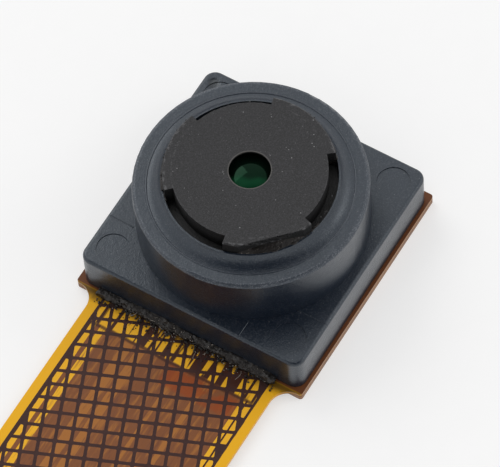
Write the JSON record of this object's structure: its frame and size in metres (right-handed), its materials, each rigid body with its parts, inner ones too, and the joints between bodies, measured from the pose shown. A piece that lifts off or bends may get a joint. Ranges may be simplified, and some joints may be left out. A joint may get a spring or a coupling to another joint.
{
  "type": "camera module",
  "caption": "Fixed-focus camera module: square moulded holder with a round turret, a glued lens barrel and a hatched flexible circuit tail ending in a board connector.",
  "frame": {"origin": "on the optical axis, at the plane of the two stiffener plates that the module rests on", "axes": "+Z along the optical axis, the way the lens looks; the flexible tail leaves towards -Y"},
  "size_m": [0.0092, 0.0232, 0.0048],
  "materials": {
    "holder_plastic": "satin moulded black with a blue-grey cast",
    "barrel_plastic": "fine matte grain with bright specks",
    "coated_lens": "green anti-reflection coating",
    "clear_lens": "clear moulded optical plastic",
    "filter_glass": "coated infrared cut glass",
    "black_film": "matte black",
    "silicon": "polished silicon",
    "gold": "gold plate",
    "capacitor_ceramic": "fired ceramic with tinned ends",
    "black_glue": "cured black adhesive",
    "polyimide": "glossy amber film",
    "copper_plane": "dark copper seen through the amber cover film",
    "copper_track": "copper seen through the amber cover film",
    "laminate": "brown glass-fibre laminate",
    "connector_plastic": "moulded black",
    "tinned_metal": "tin plate"
  },
  "bodies": {
    "root": {"lens_holder": "holder_plastic", "lens_barrel": "barrel_plastic", "front_lens": "coated_lens", "front_spacer": "black_film", "middle_lens": "clear_lens", "rear_spacer": "black_film", "rear_lens": "clear_lens", "lens_retainer": "barrel_plastic", "infrared_filter": "filter_glass", "image_sensor": "silicon", "bond_wires": "gold", "bypass_capacitors": "capacitor_ceramic", "holder_adhesive": "black_glue", "front_glue_bead": "black_glue", "lens_lock_glue": "black_glue", "flex_film": "polyimide", "ground_mesh": "copper_plane", "signal_traces": "copper_track", "module_stiffener": "laminate", "connector_stiffener": "laminate", "connector_housing": "connector_plastic", "connector_contacts": "gold", "connector_hold_downs": "tinned_metal"}
  },
  "joints": []
}
